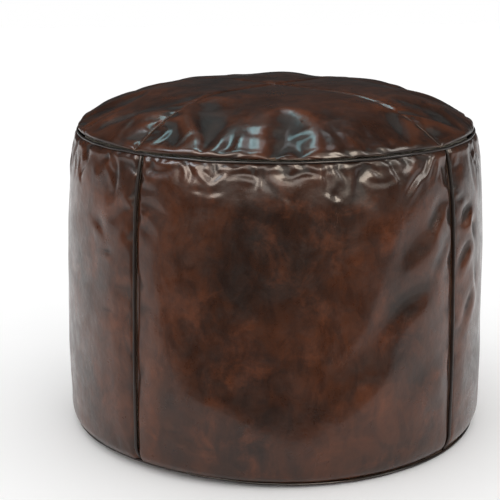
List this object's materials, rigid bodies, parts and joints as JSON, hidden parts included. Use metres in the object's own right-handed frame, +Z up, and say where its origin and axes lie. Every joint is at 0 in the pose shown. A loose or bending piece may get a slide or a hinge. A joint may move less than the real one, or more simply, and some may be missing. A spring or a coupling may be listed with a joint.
{
  "type": "leather pouf",
  "caption": "Round stuffed leather pouf with a domed wedge-panelled top, piped seams and a hidden zip in its base.",
  "frame": {"origin": "on the floor under the middle of the pouf, at the centre of its base", "axes": "+Z up through the middle of the domed top, -Y towards the front side panel, +X to its right; the zip in the base runs along Y"},
  "size_m": [0.56, 0.56, 0.444],
  "materials": {
    "leather_panel": "glossy burnished, mottled dark brown",
    "leather_piping": "semi-gloss, darker than the panels",
    "cotton": "plain undyed cotton",
    "filling": "shredded cotton and polyester stuffing",
    "zip_tape": "woven tape, dark brown",
    "zip_coil": "nylon coil, dark brown",
    "zip_metal": "antique brass, worn"
  },
  "bodies": {
    "pouf": {"side_panel_front": "leather_panel", "side_panel_right": "leather_panel", "side_panel_back": "leather_panel", "side_panel_left": "leather_panel", "top_panel_front": "leather_panel", "top_panel_right": "leather_panel", "top_panel_back": "leather_panel", "top_panel_left": "leather_panel", "bottom_panel_left": "leather_panel", "bottom_panel_right": "leather_panel", "top_piping": "leather_piping", "bottom_piping": "leather_piping", "top_piping_cord": "cotton", "bottom_piping_cord": "cotton", "side_piping_front_left": "leather_piping", "side_piping_front_right": "leather_piping", "side_piping_back_right": "leather_piping", "side_piping_back_left": "leather_piping", "side_piping_front_left_cord": "cotton", "side_piping_front_right_cord": "cotton", "side_piping_back_right_cord": "cotton", "side_piping_back_left_cord": "cotton", "inner_liner": "cotton", "filling": "filling", "zip_tape_left": "zip_tape", "zip_tape_right": "zip_tape", "zip_coil_left": "zip_coil", "zip_coil_right": "zip_coil", "zip_top_stop_left": "zip_metal", "zip_top_stop_right": "zip_metal", "zip_bottom_stop": "zip_metal"},
    "slider": {"zip_slider": "zip_metal"},
    "pull": {"zip_pull": "zip_metal"}
  },
  "joints": [
    {"name": "zip_slide", "type": "slide", "parent": "pouf", "child": "slider", "axis": [0, -1, 0], "range_m": [0, 0.3135], "deforming": ["zip_coil_left", "zip_coil_right"]},
    {"name": "pull_hinge", "type": "hinge", "parent": "slider", "child": "pull", "pos_m": [0, 0.155, 0.00935], "axis": [1, 0, 0], "range_deg": [0, 180]}
  ]
}
